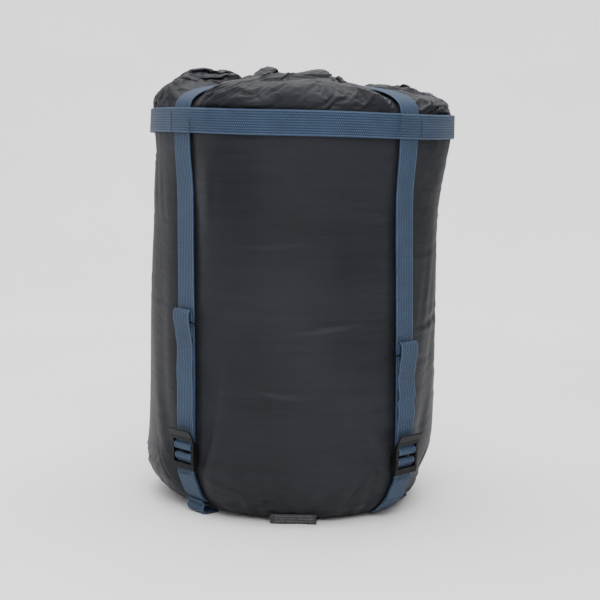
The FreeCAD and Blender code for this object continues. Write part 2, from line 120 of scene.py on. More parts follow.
def through(points, count):
    """count points, evenly spaced, on a smooth curve through the given points."""
    p = np.array(points, float)
    padded = np.vstack([2 * p[0] - p[1], p, 2 * p[-1] - p[-2]])
    fine = []
    for a, b, c, d in zip(padded, padded[1:], padded[2:], padded[3:]):
        k0 = np.linalg.norm(b - a) ** 0.5
        k1 = k0 + np.linalg.norm(c - b) ** 0.5
        k2 = k1 + np.linalg.norm(d - c) ** 0.5
        t = np.linspace(k0, k1, 24, endpoint=False)[:, None]

        def mix(start, end, low, high):
            return (high - t) / (high - low) * start + (t - low) / (high - low) * end

        ab, bc, cd = mix(a, b, 0, k0), mix(b, c, k0, k1), mix(c, d, k1, k2)
        fine.append(mix(mix(ab, bc, 0, k1), mix(bc, cd, k0, k2), k0, k1))
    fine = np.vstack(fine + [p[-1:]])
    along = run_length(fine)
    at = np.linspace(0, along[-1], count)
    return np.stack([np.interp(at, along, fine[:, k]) for k in range(fine.shape[1])], axis=1)


def run_length(path):
    """Distance along a path to each of its points."""
    return np.concatenate([[0], np.cumsum(np.linalg.norm(np.diff(path, axis=0), axis=-1))])


def turns(count):
    """count directions, evenly spaced round a whole turn."""
    return np.arange(count) * TAU / count


def polar(r, theta, z):
    """Points at these distances and directions from the sack's axis, and at these heights."""
    return np.stack(np.broadcast_arrays(r * np.cos(theta), r * np.sin(theta), z), axis=-1)


def arc(centre, r, degrees):
    """(out, height) points round a centre at these angles, up from straight outward."""
    angles = [math.radians(a) for a in degrees]
    return [(centre[0] + r * math.cos(a), centre[1] + r * math.sin(a)) for a in angles]


def unit(v):
    return v / np.maximum(np.linalg.norm(v, axis=-1, keepdims=True), 1e-12)


# --- meshes ---
def add_object(name, data):
    """A new object in the scene."""
    made = bpy.data.objects.new(name, data)
    bpy.context.scene.collection.objects.link(made)
    return made


def mesh(name, points, faces, material, uvs=None, body=None, replaces=(), slot=None):
    """A piece from points in millimetres, with its material, body and the nodes that it stands for; slot is
    not used.
    """
    data = bpy.data.meshes.new(name)
    data.from_pydata((np.asarray(points) * MM).tolist(), [], faces)
    data.update()
    if uvs is not None:
        layer = data.uv_layers.new(name="length_across")
        loops = np.empty(len(data.loops), dtype=np.int32)
        data.loops.foreach_get("vertex_index", loops)
        layer.data.foreach_set("uv", (np.asarray(uvs) * MM)[loops].astype(np.float32).ravel())
    data.polygons.foreach_set("use_smooth", [True] * len(data.polygons))
    data.materials.append(material)
    piece = add_object(name, data)
    if replaces:
        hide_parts(*replaces)
    if body:
        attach(piece, body)
    return piece


def uv_grid(along, across):
    """The (along, across) pair of each point of a grid."""
    return np.stack(np.broadcast_arrays(along, across), axis=-1).reshape(-1, 2)


def grid_faces(rows, columns, rows_close=False, columns_close=False):
    """Quads over a grid of points stored row after row."""
    faces = []
    for i in range(rows if rows_close else rows - 1):
        a, b = i * columns, (i + 1) % rows * columns
        for j in range(columns if columns_close else columns - 1):
            k = (j + 1) % columns
            faces.append((a + j, a + k, b + k, b + j))
    return faces


def tube(points, radius, sides=10):
    """Points and faces of a round tube along a path, with closed ends."""
    path = np.asarray(points, float)
    tangent = unit(np.gradient(path, axis=0))
    side = np.zeros_like(path)
    first = np.cross(tangent[0], [0.0, 0.0, 1.0])
    if np.linalg.norm(first) < 0.1:
        first = np.cross(tangent[0], [1.0, 0.0, 0.0])
    side[0] = unit(first)
    for k in range(1, len(path)):
        side[k] = unit(side[k - 1] - tangent[k] * np.dot(side[k - 1], tangent[k]))
    up = np.cross(tangent, side)
    angles = turns(sides)
    ring = side[:, None] * np.cos(angles)[:, None] + up[:, None] * np.sin(angles)[:, None]
    verts = (path[:, None] + ring * radius).reshape(-1, 3)
    faces = grid_faces(len(path), sides, columns_close=True)
    last = (len(path) - 1) * sides
    faces.append(tuple(range(sides))[::-1])
    faces.append(tuple(range(last, last + sides)))
    return verts, faces


def joined(parts):
    """Points and faces of several (points, faces) pairs as one."""
    points, faces, shift = [], [], 0
    for some_points, some_faces in parts:
        points.append(some_points)
        faces += [tuple(i + shift for i in f) for f in some_faces]
        shift += len(some_points)
    return np.vstack(points), faces


def lean(z):
    """How far a strap has turned from its tab at a height, in degrees."""
    return HARNESS_TURN * smooth((np.asarray(z, float) - LOCK_BAR[1]) / (BAND_LOW - LOCK_BAR[1]))


def line_directions(azimuth, height):
    """Outward and sideways directions of a strap line at these heights."""
    a = np.radians(azimuth + lean(height))
    level = np.zeros_like(a)
    outward = np.stack([np.cos(a), np.sin(a), level], axis=-1)
    return outward, np.stack([-np.sin(a), np.cos(a), level], axis=-1)


def on_line(azimuth, out, across, height):
    """Points on a strap line: out from the body's side, across to the left of the line, and height."""
    out, across, height = np.broadcast_arrays(*(np.asarray(v, float) for v in (out, across, height)))
    outward, sideways = line_directions(azimuth, height)
    place = outward * (BODY_R + out)[..., None] + sideways * across[..., None]
    place[..., 2] = height
    return place


RIB_COUNT = 10
RIB_RISE = 0.14
FACE_STEPS = 40  # faces across one side of the webbing


def webbing(name, path, across, material, closed=False, thickness=WEB_T, width=WEB_W, ribs=RIB_RISE, **kind):
    """Woven webbing along a path. across holds the direction of its width at each point of the path.

    Both faces have raised ribs along their length, and the edges are rounded."""
    path, across = np.asarray(path, float), unit(np.asarray(across, float))
    step = np.roll(path, -1, axis=0) - np.roll(path, 1, axis=0) if closed else np.gradient(path, axis=0)
    normal = unit(np.cross(across, unit(step)))
    v = np.linspace(-width / 2, width / 2, FACE_STEPS + 1)
    edge = np.sqrt(np.clip(1 - (np.abs(v) / (width / 2)) ** 24, 0, 1)) * 0.75 + 0.25
    rib = ribs * (np.abs(np.sin(math.pi * RIB_COUNT * (v / width + 0.5))) - 0.5)
    rib *= smooth((width / 2 - np.abs(v)) / 1.5)
    face = (thickness / 2) * edge + rib
    offs = np.concatenate([face, -face[::-1]])
    vs = np.concatenate([v, v[::-1]])
    points = path[:, None] + across[:, None] * vs[:, None] + normal[:, None] * offs[:, None]
    uvs = uv_grid(run_length(path)[:, None], vs + width / 2)
    ring = len(vs)
    faces = grid_faces(len(path), ring, rows_close=closed, columns_close=True)
    if not closed:
        last = (len(path) - 1) * ring
        for k in range(FACE_STEPS):
            far = ring - 1 - k
            faces += [(k, k + 1, far - 1, far), (last + k + 1, last + k, last + far, last + far - 1)]
    return mesh(name, points.reshape(-1, 3), faces, material, uvs=uvs, **kind)


def strap_line(name, azimuth, points, step=2.2, across=0.0, twist=None, replaces=None, **kind):
    """Webbing in a strap line's plane through (out, height) points. It stands for the node name, unless told.

    across moves it sideways, and is a number or says how far at each share of its length. twist says in the
    same way how far it turns about its own line, in radians."""
    points = np.asarray(points, float)
    line = through(points, max(8, int(run_length(points)[-1] / step)))
    share = np.linspace(0, 1, len(line))
    shift = across if np.isscalar(across) else across(share)
    place = on_line(azimuth, line[:, 0], shift, line[:, 1])
    outward, sideways = line_directions(azimuth, line[:, 1])
    turn = 0.0 if twist is None else twist(share)[:, None]
    width = sideways * np.cos(turn) + outward * np.sin(turn)
    replaces = [name] if replaces is None else replaces
    return webbing(name + "_webbing", place, -width, WEBBING, slot="webbing", replaces=replaces, **kind)


def stitches(path, normal, radius=0.26, pitch=2.2, gap=0.5):
    """Points and faces of a row of stitches that lie on a surface along a path."""
    path = np.asarray(path, float)
    along = run_length(path)
    count = max(1, int(along[-1] / pitch))
    gap /= pitch
    parts = []
    for k in range(count):
        at = (np.linspace(k, k + 1 - gap, 6) + gap / 2) * along[-1] / count
        line = np.stack([np.interp(at, along, path[:, c]) for c in range(3)], axis=1)
        rise = np.sin(np.linspace(0, math.pi, 6))[:, None] * radius * 1.1 - radius * 0.3
        parts.append(tube(line + np.asarray(normal) * rise, radius, 6))
    return joined(parts)


def rows_across(azimuth, places, aside=0.0):
    """Rows of stitches across webbing, at these (out, height) places of its face."""
    rows = []
    for out, height in places:
        line = on_line(azimuth, out, aside + np.linspace(-11, 11, 12), height)
        rows.append(stitches(line, line_directions(azimuth, height)[0]))
    return joined(rows)


# --- cloth ---
CLOTH = {
    "quality": 5, "mass": 0.12, "tension_stiffness": 12.0, "compression_stiffness": 12.0,
    "shear_stiffness": 4.0, "air_damping": 6.0, "vertex_group_mass": "held", "use_pressure": True,
}
HELD_STEPS = 10  # how many weights the held points are sorted into


def settled(grid, held, frames, grow, pressure, cap, bending):
    """A ring-shaped grid of points after cloth simulation. held is 0 for free points and 1 for fixed ones.

    The cloth is cut larger than its start shape by the share grow. No point moves further than cap."""
    data = bpy.data.meshes.new("settling_cloth")
    rows, around = grid.shape[:2]
    data.from_pydata((grid.reshape(-1, 3) * MM).tolist(), [], grid_faces(rows, around, columns_close=True))
    piece = add_object("settling_cloth", data)
    group = piece.vertex_groups.new(name="held")
    steps = np.round(held.reshape(-1) * HELD_STEPS) / HELD_STEPS
    for weight in np.unique(steps[steps > 0]):
        group.add(np.nonzero(steps == weight)[0].tolist(), float(weight), "REPLACE")
    cloth = piece.modifiers.new("cloth", "CLOTH")
    settings, touching = cloth.settings, cloth.collision_settings
    for key, value in CLOTH.items():
        setattr(settings, key, value)
    settings.bending_stiffness, settings.uniform_pressure_force = bending, pressure
    settings.shrink_min = settings.shrink_max = -grow
    settings.effector_weights.gravity = 0.0
    touching.use_collision, touching.use_self_collision = False, True
    touching.self_distance_min = 0.0012
    cloth.point_cache.frame_start, cloth.point_cache.frame_end = 1, frames
    scene = bpy.context.scene
    for number in range(1, frames + 1):
        scene.frame_set(number)
    final = piece.evaluated_get(bpy.context.evaluated_depsgraph_get()).to_mesh()
    points = np.empty(len(final.vertices) * 3)
    final.vertices.foreach_get("co", points)
    move = points.reshape(grid.shape) / MM - grid
    length = np.linalg.norm(move, axis=-1, keepdims=True)
    bpy.data.objects.remove(piece)
    scene.frame_set(1)
    return grid + move * np.minimum(1, cap / np.maximum(length, 1e-9))


def finer(grid, axis, closed=False):
    """The grid with a point added between each two along an axis, on a smooth curve through them."""
    g = np.moveaxis(grid, axis, 0)
    if closed:
        padded = np.concatenate([g[-1:], g, g[:2]])
    else:
        padded = np.concatenate([2 * g[:1] - g[1:2], g, 2 * g[-1:] - g[-2:-1]])
    before, g, after, last = padded[:-3], padded[1:-2], padded[2:-1], padded[3:]
    middle = (9 * (g + after) - before - last) / 16
    both = np.stack([g, middle], axis=1).reshape(-1, *g.shape[1:])
    if not closed:
        both = np.concatenate([both, padded[-2:-1]])
    return np.moveaxis(both, 0, axis)


def grid_normals(grid):
    """Outward directions on a grid whose rows rise and whose columns run round the sack."""
    up = np.gradient(grid, axis=0)
    round_it = np.roll(grid, -1, axis=1) - np.roll(grid, 1, axis=1)
    return unit(np.cross(round_it, up))


# --- materials ---
class Nodes:
    """A material's node tree, with short calls for the nodes that the materials here use."""

    def __init__(self, name):
        self.material = bpy.data.materials.new(name)
        self.material.use_nodes = True
        self.tree = self.material.node_tree
        self.shader = self.tree.nodes["Principled BSDF"]

    def put(self, socket, value):
        if isinstance(value, bpy.types.NodeSocket):
            self.tree.links.new(value, socket)
        else:
            socket.default_value = value

    def node(self, kind, inputs=(), **settings):
        made = self.tree.nodes.new(kind)
        for key, value in settings.items():
            setattr(made, key, value)
        for key, value in dict(inputs).items():
            self.put(made.inputs[key], value)
        return made

    def place(self):
        return self.node("ShaderNodeTexCoord").outputs["Object"]

    def length_across(self):
        """Distance along and across a piece of webbing, in metres."""
        uv = self.node("ShaderNodeUVMap", uv_map="length_across").outputs[0]
        return self.node("ShaderNodeSeparateXYZ", {0: uv}).outputs[:2]

    def math(self, operation, a, b=0.0):
        return self.node("ShaderNodeMath", {0: a, 1: b}, operation=operation).outputs[0]

    def total(self, *shares):
        """The sum of (value, share) pairs, each value multiplied by its share."""
        result = None
        for value, share in shares:
            part = self.math("MULTIPLY", value, share)
            result = part if result is None else self.math("ADD", result, part)
        return result

    def waves(self, distance, pitch, phase=0.0):
        """0 to 1 and back over each pitch in metres."""
        angle = self.math("ADD", self.math("MULTIPLY", distance, TAU / pitch), phase)
        return self.math("ADD", self.math("MULTIPLY", self.math("SINE", angle), 0.5), 0.5)

    def noise(self, scale, detail=3.0, roughness=0.5, place=None):
        inputs = {"Vector": place or self.place(), "Scale": scale, "Detail": detail, "Roughness": roughness}
        return self.node("ShaderNodeTexNoise", inputs).outputs["Fac"]

    def stretched(self, scale):
        """The place, with each axis scaled by its own number."""
        return self.node("ShaderNodeMapping", {"Vector": self.place(), "Scale": scale}).outputs[0]

    def ramp(self, value, stops):
        made = self.node("ShaderNodeValToRGB")
        while len(made.color_ramp.elements) < len(stops):
            made.color_ramp.elements.new(0.5)
        for element, (place, colour) in zip(made.color_ramp.elements, stops):
            element.position = place
            element.color = (*colour, 1.0)
        self.put(made.inputs[0], value)
        return made.outputs[0]

    def range(self, value, low, high):
        """Spreads 0 to 1 over low to high."""
        return self.math("ADD", self.math("MULTIPLY", value, high - low), low)

    def bump(self, height, strength, distance, under=None):
        inputs = {"Height": height, "Strength": strength, "Distance": distance}
        if under is not None:
            inputs["Normal"] = under
        return self.node("ShaderNodeBump", inputs).outputs[0]

    def finish(self, **sockets):
        for name, value in sockets.items():
            self.put(self.shader.inputs[name.replace("_", " ")], value)
        return self.material


def nylon(name, dark, light, weave=0.00075):
    """Thin plain-weave nylon, with a soft sheen, faint creasing, a fine weave, and pale streaks of painted
    highlight in its colour.
    """
    m = Nodes(name)
    along, across = m.length_across()
    threads = m.math("MULTIPLY", m.waves(along, weave), m.waves(across, weave, 1.6))
    cloudy = m.noise(9.0, 4.0, 0.55)
    wrinkled = m.noise(1.0, 5.0, 0.62, m.stretched((26.0, 26.0, 75.0)))
    fine = m.noise(1.0, 3.0, 0.6, m.stretched((120.0, 120.0, 260.0)))
    streak_relief_and_painted_highlight = m.noise(1.0, 5.0, 0.6, m.stretched((8.0, 8.0, 210.0)))
    # the streak noise also lightens the colour in thin level streaks: painted highlight along the creases, on
    # top of their bump
    tone = m.total((cloudy, 0.5), (threads, 0.2), (streak_relief_and_painted_highlight, 0.24))
    normal = m.bump(wrinkled, 0.38, 0.004)
    normal = m.bump(streak_relief_and_painted_highlight, 0.12, 0.0012, normal)
    normal = m.bump(fine, 0.16, 0.001, normal)
    normal = m.bump(threads, 0.22, 0.00012, normal)
    return m.finish(
        Base_Color=m.ramp(tone, [(0.3, dark), (0.6, light)]), Roughness=m.range(cloudy, 0.48, 0.62),
        Normal=normal, Sheen_Weight=0.02, Sheen_Roughness=0.4, Specular_IOR_Level=0.16)


SELVEDGE = 0.0021  # in metres, as everything in the materials is


def web_weave(name, dark, mid, light, pick=0.0021):
    """Ribbed webbing: ribs along it, picks across it, and a paler selvedge."""
    m = Nodes(name)
    along, across = m.length_across()
    rib = WEB_W * MM / RIB_COUNT
    ribs = m.waves(across, rib, -math.pi / 2)
    half = m.math("GREATER_THAN", m.waves(across, 2 * rib), 0.5)
    picks = m.waves(m.math("ADD", along, m.math("MULTIPLY", half, pick / 2)), pick)
    fibre = m.noise(1500.0, 2.0)
    worn = m.noise(60.0, 3.0)
    off_middle = m.math("ABSOLUTE", m.math("SUBTRACT", across, WEB_W * MM / 2))
    selvedge = m.math("GREATER_THAN", off_middle, WEB_W * MM / 2 - SELVEDGE)
    tone = m.total((ribs, 0.36), (picks, 0.42), (fibre, 0.12), (worn, 0.22), (selvedge, 0.12))
    normal = m.bump(m.total((ribs, 0.6), (picks, 0.5)), 0.75, 0.0005)
    normal = m.bump(fibre, 0.25, 0.0001, normal)
    return m.finish(
        Base_Color=m.ramp(tone, [(0.22, dark), (0.55, mid), (0.95, light)]),
        Roughness=m.range(worn, 0.62, 0.8), Normal=normal, Sheen_Weight=0.06, Specular_IOR_Level=0.2)


def plastic(name, dark, light, rough=(0.28, 0.42)):
    """Moulded black plastic with a fine grain and rubbed patches."""
    m = Nodes(name)
    grain = m.noise(2600.0, 2.0)
    rubbed = m.noise(110.0, 4.0, 0.6)
    return m.finish(
        Base_Color=m.ramp(rubbed, [(0.3, dark), (0.75, light)]), Roughness=m.range(rubbed, *rough),
        Normal=m.bump(grain, 0.14, 0.00008), Specular_IOR_Level=0.08)


def twisted(name, dark, light, pitch):
    """Thread or braid: fine slanting strands."""
    m = Nodes(name)
    x, y, z = m.node("ShaderNodeSeparateXYZ", {0: m.place()}).outputs
    level = m.math("ADD", x, y)
    slants = [m.waves(m.math(way, level, z), pitch) for way in ("ADD", "SUBTRACT")]
    strands = m.math("MAXIMUM", *slants)
    return m.finish(Base_Color=m.ramp(strands, [(0.2, dark), (0.9, light)]), Roughness=0.6,
                    Normal=m.bump(strands, 0.5, 0.0002))


def steel(name):
    """Bright drawn wire."""
    m = Nodes(name)
    drawn = m.noise(900.0, 2.0)
    colour = m.ramp(drawn, [(0.3, (0.42, 0.42, 0.44)), (0.7, (0.68, 0.68, 0.7))])
    return m.finish(Base_Color=colour, Metallic=1.0, Roughness=m.range(drawn, 0.2, 0.35))


def label_satin(name):
    """Black woven satin with fine threads across it, and rows of plain grey marks that spell nothing."""
    m = Nodes(name)
    along, across = m.length_across()
    threads = m.waves(across, 0.0006)
    cloudy = m.noise(160.0, 3.0)
    rows = m.math("GREATER_THAN", m.waves(across, 0.0026, 1.2), 0.6)
    broken = m.math("GREATER_THAN", m.noise(1.0, 2.0, 0.7, m.stretched((520.0, 1.0, 300.0))), 0.47)
    off_ends = m.math("LESS_THAN", m.math("ABSOLUTE", along), 0.019)
    marks = m.math("MULTIPLY", m.math("MULTIPLY", rows, broken), off_ends)
    tone = m.total((m.math("MULTIPLY", threads, cloudy), 0.5), (marks, 0.6))
    stops = [(0.05, (0.006, 0.006, 0.007)), (0.35, (0.02, 0.02, 0.022)), (0.65, (0.06, 0.063, 0.07))]
    rough = m.range(cloudy, 0.38, 0.55)
    return m.finish(Base_Color=m.ramp(tone, stops), Roughness=rough, Normal=m.bump(threads, 0.3, 0.0001))


SHELL = nylon("charcoal_nylon", (0.0088, 0.0092, 0.0122), (0.0190, 0.0198, 0.0252))
WEBBING = web_weave("slate_webbing", (0.005, 0.010, 0.022), (0.018, 0.034, 0.066), (0.056, 0.092, 0.156))
TAPE = web_weave("binding_tape", (0.006, 0.006, 0.007), (0.012, 0.012, 0.014), (0.025, 0.025, 0.028))
BUCKLE_PLASTIC = plastic("black_acetal", (0.0035, 0.0035, 0.004), (0.008, 0.008, 0.009))
RUBBER = plastic("keeper_rubber", (0.006, 0.006, 0.007), (0.014, 0.014, 0.015), (0.18, 0.32))
THREAD = twisted("navy_thread", (0.008, 0.014, 0.026), (0.024, 0.042, 0.075), 0.0008)
DARK_THREAD = twisted("charcoal_thread", (0.010, 0.010, 0.012), (0.035, 0.036, 0.040), 0.0008)
CORD_BRAID = twisted("black_braid", (0.006, 0.006, 0.007), (0.035, 0.035, 0.037), 0.0013)
SPRING_STEEL = steel("spring_steel")
LABEL = label_satin("label_satin")


# --- the fabric shell ---
LINES = np.radians([line[0] for line in STRAPS.values()])


def off_strap(theta, r, z):
    """Distance from the middle of the nearest strap, in millimetres, at a direction, radius and height."""
    lines = LINES + np.radians(lean(z))[..., None]
    gap = np.abs((theta[..., None] - lines + math.pi) % TAU - math.pi).min(axis=-1)
    return r * np.sin(np.clip(gap, 0, math.pi / 2))


def clear_of_straps(theta, z):
    """0 under the straps, up to 1 away from them."""
    return smooth((off_strap(theta, BODY_R, z) - 9) / 26)


def make_creases(seed, count, low, high, length, sharpness, slanting=0.05):
    """Short creases at random, each with direction, height, half length, width, depth, slant and bow."""
    rng = np.random.RandomState(seed)
    return [
        (rng.uniform(0, TAU), rng.uniform(low, high), rng.uniform(*length), rng.uniform(*sharpness),
         rng.uniform(0.25, 1.0), rng.normal(0, slanting), rng.uniform(-0.0016, 0.0016))
        for _ in range(count)
    ]


# The longer creases that the photo shows on the front, in the same form.
FRONT_CREASES = [
    (math.radians(301), 306, 24, 3.0, 3.6, -0.06, 0.001),
    (math.radians(285), 195, 36, 3.0, 3.8, 0.12, -0.001),
    (math.radians(260), 130, 24, 2.8, 3.0, -0.1, 0.0),
    (math.radians(256), 272, 30, 3.0, 2.4, 0.03, 0.001),
]
CREASES = make_creases(11, 120, 55, BAND_LOW - 7, (22, 80), (1.6, 4.2)) + FRONT_CREASES
BASE_PUCKERS = make_creases(5, 130, 5, 52, (5, 16), (1.4, 3.2), 0.7)


def creased(theta, z, creases, depth):
    """How far the creases push the fabric: a ridge beside a groove, fading at both ends."""
    push = np.zeros(np.broadcast(theta, z).shape)
    for at, height, half, width, share, slant, bow in creases:
        s = ((theta - at + math.pi) % TAU - math.pi) * BODY_R
        near = np.abs(s) < 2.2 * half
        d = (z - height - slant * s - bow * s * s) / width
        ridge_and_groove = bell(d, 1.0) - 0.8 * bell(d - 1.9, 1.2)
        push += np.where(near, share * depth * bell(s, half) * ridge_and_groove, 0.0)
    return push


def wall_base_radius(z):
    """The body's plain outside radius."""
    low = BODY_R - CORNER_IN + CORNER_IN * np.sqrt(np.clip(1 - (1 - z / CORNER_UP) ** 2, 0, None))
    high = BODY_R + (SHOULDER_R - BODY_R) * smooth((z - FLARE_Z) / (BAND_HIGH - FLARE_Z))
    return np.where(z < CORNER_UP, low, high)


# How far the left side bulges and the right side is drawn in, up the body and at its lower corners.
LEAN_LEFT, LEAN_RIGHT = 6.0, 3.5
CORNER_LEFT, CORNER_RIGHT = 5.0, 6.5


def wall_swell(theta, z):
    """How far the stuffed fabric stands out from its plain shape, before it is settled."""
    clear = clear_of_straps(theta, z)
    pressed = 0.45 * (1 - smooth((off_strap(theta, BODY_R, z) - 12) / 10)) * smooth(z / 60)
    swell = 0.7 * clear * smooth(z / 90) - pressed
    left, right = (np.clip(side * np.cos(theta), 0, 1) ** 1.5 for side in (-1, 1))
    body = smooth(z / 40) * (1 - smooth((z - BAND_LOW + 70) / 70))
    swell += clear * body * (LEAN_LEFT * left - LEAN_RIGHT * right)
    swell += clear * bell(z - 30, 26) * (CORNER_LEFT * left - CORNER_RIGHT * right)
    swell += 0.9 * smooth((z - BAND_LOW + 23) / 30) * clear
    lumps = 0.9 * np.sin(2 * theta + 0.012 * z + 0.6) + 0.7 * np.sin(3 * theta - 0.019 * z + 2.0)
    lumps += 0.6 * np.sin(5 * theta + 0.027 * z + 4.0)
    lumps *= clear * smooth(z / 120)
    gathers = 0.55 * np.sin(31 * theta + 1.7 * np.sin(5 * theta)) * np.sin(13 * theta + 0.8)
    gathers *= smooth((z - BAND_LOW + 27) / 34) * (0.3 + 0.7 * clear)
    hem = 0.7 * np.sin(38 * theta + 2.2 * np.sin(7 * theta)) * bell(z - 12, 20) * clear
    return swell + lumps + gathers + hem


def wall_creases(theta, z):
    """Fine creases of the stretched fabric, which lie on top of its settled shape."""
    fade = 0.1 + 0.9 * clear_of_straps(theta, z)
    return creased(theta, z, CREASES, 0.6) * fade + creased(theta, z, BASE_PUCKERS, 1.5) * fade


WALL_T = 0.9
WALL_AROUND = 288


def make_side_wall():
    """The body's fabric, outside and inside, from the floor ring up under the band."""
    theta = turns(WALL_AROUND)
    corner = np.radians(np.linspace(0, 90, 17))
    side = np.linspace(CORNER_UP, BAND_HIGH - 0.6, 84)[1:]
    z = np.concatenate([CORNER_UP - CORNER_UP * np.cos(corner), side])
    square = np.arctan2(np.sin(corner) / CORNER_IN, np.cos(corner) / CORNER_UP)
    outward = np.concatenate([square, np.full(len(side), math.pi / 2)])[:, None]
    around, z = np.meshgrid(theta, z)
    push = wall_swell(around, z) * smooth(z / 9)
    r = wall_base_radius(z) + push * np.sin(outward)
    grid = polar(r, theta, z - push * np.cos(outward))
    held = 1 - smooth((off_strap(around, BODY_R, z) - 13) / 6)
    held = np.maximum(held, smooth((z - BAND_LOW + 9) / 8))
    held = np.maximum(held, 1 - smooth((z - 1.5) / 5))
    grid = settled(grid, held, frames=14, grow=-0.001, pressure=1.0, cap=4.0, bending=3.0)
    grid = finer(finer(grid, 0), 1, closed=True)
    normal = grid_normals(grid)
    at = np.arctan2(grid[..., 1], grid[..., 0])
    grid = grid + normal * (wall_creases(at, grid[..., 2]) * smooth(grid[..., 2] / 9))[..., None]
    inner = grid - normal * WALL_T
    grid[..., 2] = np.maximum(grid[..., 2], 0.02)
    inner[..., 2] = np.maximum(inner[..., 2], WALL_T)
    s = run_length(grid[:, 0])
    both = np.concatenate([grid, inner[::-1]])
    rows, around = both.shape[:2]
    uvs = uv_grid(turns(around) * BODY_R, np.concatenate([s, s[::-1]])[:, None])
    faces = grid_faces(rows, around, rows_close=True, columns_close=True)
    wall = mesh("side_wall_fabric", both.reshape(-1, 3), faces, SHELL, uvs=uvs, replaces=["side_wall"],
                slot="shell_fabric")
    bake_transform(wall)


# Sections of the collar: radius, and height above the band's upper edge, between two straps and under one.
COLLAR_CREST = [(157.0, -3.0), (158.2, 1.5), (160.6, 8.0), (160.0, 16.0), (155.0, 24.5), (146.0, 30.5),
                (134.0, 34.4), (120.0, 36.4), (106.0, 37.0), (96.0, 37.6), (89.0, 38.6)]
COLLAR_VALLEY = [(156.0, -3.0), (156.0, 0.6), (153.0, 5.8), (145.6, 11.6), (133.0, 16.4), (116.0, 20.0),
                 (104.0, 22.0), (95.0, 23.3), (88.0, 24.0), (82.0, 24.0)]
HEM_CREST = [(85.0, 39.2), (81.6, 40.4), (78.2, 39.4), (76.4, 36.0), (75.6, 31.0)]
HEM_VALLEY = [(79.5, 24.8), (77.0, 25.8), (75.0, 26.0), (74.0, 25.9), (73.2, 25.9)]
CHANNEL = [(72.8, 26.0), (70.0, 26.6), (66.8, 25.0), (65.3, 21.5), (66.6, 18.0), (70.0, 16.6), (74.0, 18.0)]
RIGHT_LOBE_DROP = 0.3  # how much flatter the swelling on the right is
COLLAR_T = 1.0
COLLAR_AROUND = 432
SLOPE_ROWS, HEM_ROWS, CHANNEL_ROWS = 38, 18, 22
PLEATS = 17


def pleat_phase(theta):
    """Angle that turns once for each uneven pleat round the mouth."""
    phase = PLEATS * theta + 1.7 * np.sin(3 * theta + 0.7) + 1.2 * np.sin(7 * theta + 2.1)
    return phase + 0.5 * np.sin(11 * theta)


def scallop(theta):
    """Slower rise and fall of the mouth's edge, from about -1 to 1."""
    return 0.55 * np.sin(9 * theta + 0.9) + 0.45 * np.sin(14 * theta + 2.4) + 0.25 * np.sin(5 * theta)


def collar_grid(theta, crest, valley, share):
    """Points of the gathered fabric, and how far each one is from the valley section to the crest section.

    Rows go from the band up to the mouth, and share says how far up each one is."""
    theta, share, valley_r = theta[None, :], share[:, None], valley[:, :1]
    strap = smooth((off_strap(theta, valley_r, BAND_HIGH) - 11.5) / 20)
    sideways = np.abs(valley_r * np.cos(theta))
    lock = np.where(np.sin(theta) > 0, smooth((sideways - 14) / 14), 1.0)  # low beside the cord lock
    lock = np.maximum(lock, smooth((valley_r - 102) / 14))
    lift = np.minimum(strap, lock)
    height = 1 - RIGHT_LOBE_DROP * (0.5 + 0.5 * np.cos(theta)) ** 4
    r = valley_r + (crest[:, :1] - valley_r) * lift
    z = BAND_HIGH + valley[:, 1:] + (crest[:, 1:] * height - valley[:, 1:]) * lift
    # pleats, which grow towards the mouth
    grow = smooth((share - 0.30) / 0.70) ** 1.4 * (0.05 + 0.95 * lift)
    phase = pleat_phase(theta)
    uneven = 0.8 + 0.3 * np.sin(4 * theta + 1.1) + 0.25 * np.sin(13 * theta)
    turn = theta + grow * uneven * 0.8 / PLEATS * np.sin(2 * phase)
    r = r + grow * (6.0 * uneven * np.cos(phase) + 2.0 * scallop(theta))
    z = z + grow * (2.6 * np.cos(phase + 0.7) + 3.4 * scallop(theta))
    # soft rolls and folds, halfway up
    soft = smooth(share / 0.25) * (1 - smooth((share - 0.75) / 0.25)) * lift
    rolls = np.sin(7 * theta + 5.0 * share + 0.6) + 0.8 * np.sin(11 * theta - 7.0 * share + 2.0)
    rolls = rolls + 0.6 * np.sin(23 * theta + 4.0 * share + 1.0)
    r = r + soft * 0.9 * rolls
    z = z + soft * 0.7 * rolls
    folds = np.abs(np.sin(17 * theta + 1.9 * np.sin(5 * theta) + 2.6 * share))
    z = z - soft * 1.8 * (1 - folds) ** 3
    return polar(r, turn, z), lift


